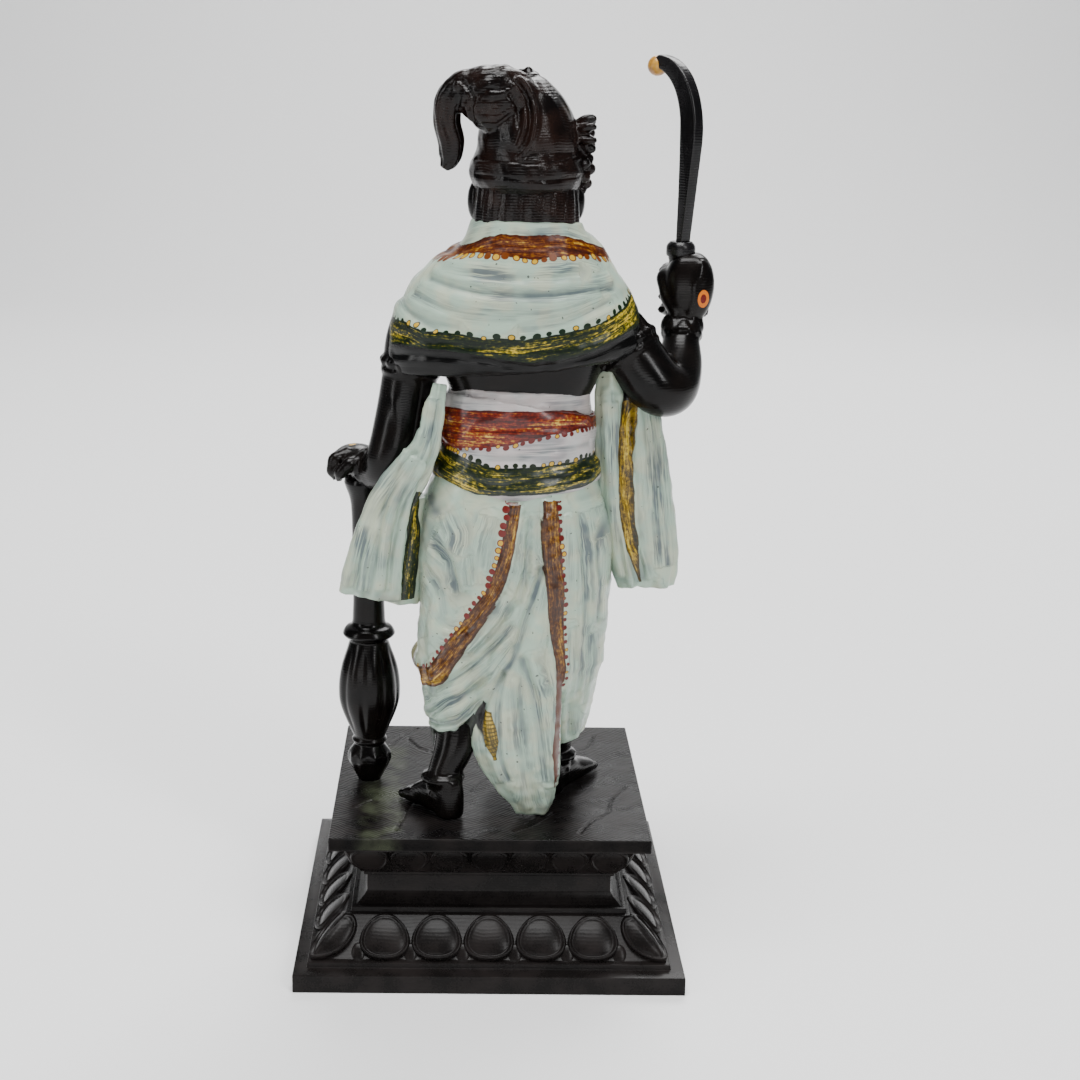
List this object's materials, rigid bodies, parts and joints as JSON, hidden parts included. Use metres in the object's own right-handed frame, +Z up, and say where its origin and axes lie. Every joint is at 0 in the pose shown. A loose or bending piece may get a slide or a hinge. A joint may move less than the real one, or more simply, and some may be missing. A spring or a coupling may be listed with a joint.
{
  "type": "guardian deity statue",
  "caption": "Printed and painted statue of a turbaned village guardian with a raised hooked sword and an upturned club, standing on a square lotus plinth.",
  "frame": {"origin": "centre of the plinth's square underside", "axes": "+Z up; the figure faces -Y; +X to the figure's left, the side of the club"},
  "size_m": [0.14, 0.13, 0.3011],
  "materials": {
    "plinth_black": "glossy black printed plastic with fine layer lines",
    "figure_paint": "glossy black printed plastic, hand-painted white cloth with red, gold and green borders",
    "club_black": "glossy black printed plastic",
    "sword_black": "glossy black printed plastic",
    "lime_yellow": "glossy yellow-orange paint"
  },
  "bodies": {
    "root": {"plinth": "plinth_black", "figure": "figure_paint", "club": "club_black", "sword": "sword_black", "lime": "lime_yellow"}
  },
  "joints": []
}
